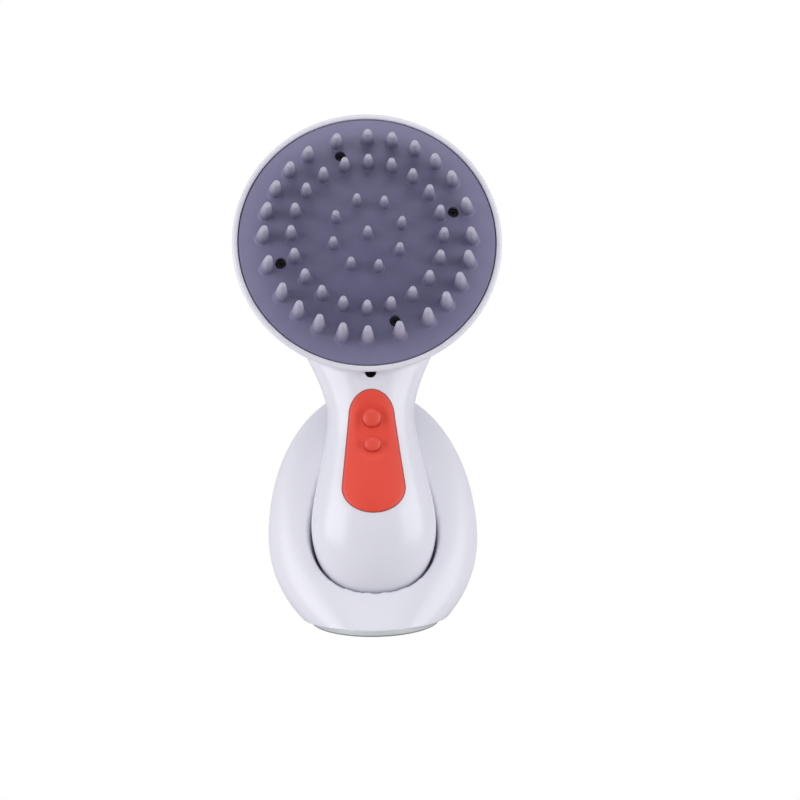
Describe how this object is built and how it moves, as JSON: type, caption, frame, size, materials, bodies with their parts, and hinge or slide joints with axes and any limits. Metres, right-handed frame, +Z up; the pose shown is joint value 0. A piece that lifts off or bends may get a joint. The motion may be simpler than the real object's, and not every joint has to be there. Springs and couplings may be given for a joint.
{
  "type": "scalp massager brush",
  "caption": "Handheld vibrating scalp massager with a round soft-bristle pad and a key pad with buttons, standing in a leaning egg-shaped holder on an oval foot.",
  "frame": {"origin": "centre of the holder's anti-slip sole, on the surface that it stands on", "axes": "+Z up, -Y towards the front that the bristle pad faces, +X to the right of someone who looks at the front"},
  "size_m": [0.102, 0.0787, 0.1899],
  "materials": {
    "white_plastic": "gloss",
    "purple_silicone": "satin",
    "red_rubber": "satin",
    "grey_plastic": "satin",
    "black_plastic": "satin",
    "sole_rubber": "matte",
    "green_board": "satin",
    "steel": "satin",
    "brass": "satin",
    "cell_wrap": "satin"
  },
  "bodies": {
    "stand": {"stand_shell": "white_plastic", "foot_plate": "grey_plastic", "antislip_sole": "sole_rubber", "ballast_weight": "steel", "base_screw_1": "steel", "base_screw_2": "steel", "base_screw_3": "steel"},
    "massager": {"front_shell": "white_plastic", "rear_shell": "white_plastic", "head_rim": "white_plastic", "pad_gasket": "black_plastic", "pad_carrier": "grey_plastic", "bristle_pad": "purple_silicone", "pad_screw_1": "steel", "pad_screw_2": "steel", "pad_screw_3": "steel", "pad_screw_4": "steel", "key_pad": "red_rubber", "power_switch": "steel", "mode_switch": "steel", "switch_board": "green_board", "neck_screw": "steel", "motor_lead": "black_plastic", "motor_can": "steel", "motor_clamp": "grey_plastic", "clamp_screw_1": "steel", "clamp_screw_2": "steel", "battery_cell_1": "cell_wrap", "battery_cell_2": "cell_wrap", "contact_plate_lower": "brass", "contact_plate_upper": "brass", "battery_door": "white_plastic", "battery_door_screw": "steel"},
    "power_key": {"power_button": "red_rubber", "power_plunger": "black_plastic"},
    "mode_key": {"mode_button": "red_rubber", "mode_plunger": "black_plastic"},
    "rotor": {"motor_shaft": "steel", "eccentric_weight": "brass"}
  },
  "joints": [
    {"name": "lift_out", "type": "slide", "parent": "stand", "child": "massager", "axis": [0, 0, 1], "range_m": [0, 0.09]},
    {"name": "power_press", "type": "slide", "parent": "massager", "child": "power_key", "axis": [0, 0.9483, -0.3173], "range_m": [0, 0.0008], "stiffness_N_per_m": 300},
    {"name": "mode_press", "type": "slide", "parent": "massager", "child": "mode_key", "axis": [0, 0.9483, -0.3173], "range_m": [0, 0.0008], "stiffness_N_per_m": 300},
    {"name": "motor_spin", "type": "hinge", "parent": "massager", "child": "rotor", "pos_m": [0, 0.03005, 0.1379], "axis": [0, 0.3173, 0.9483], "continuous": true}
  ]
}
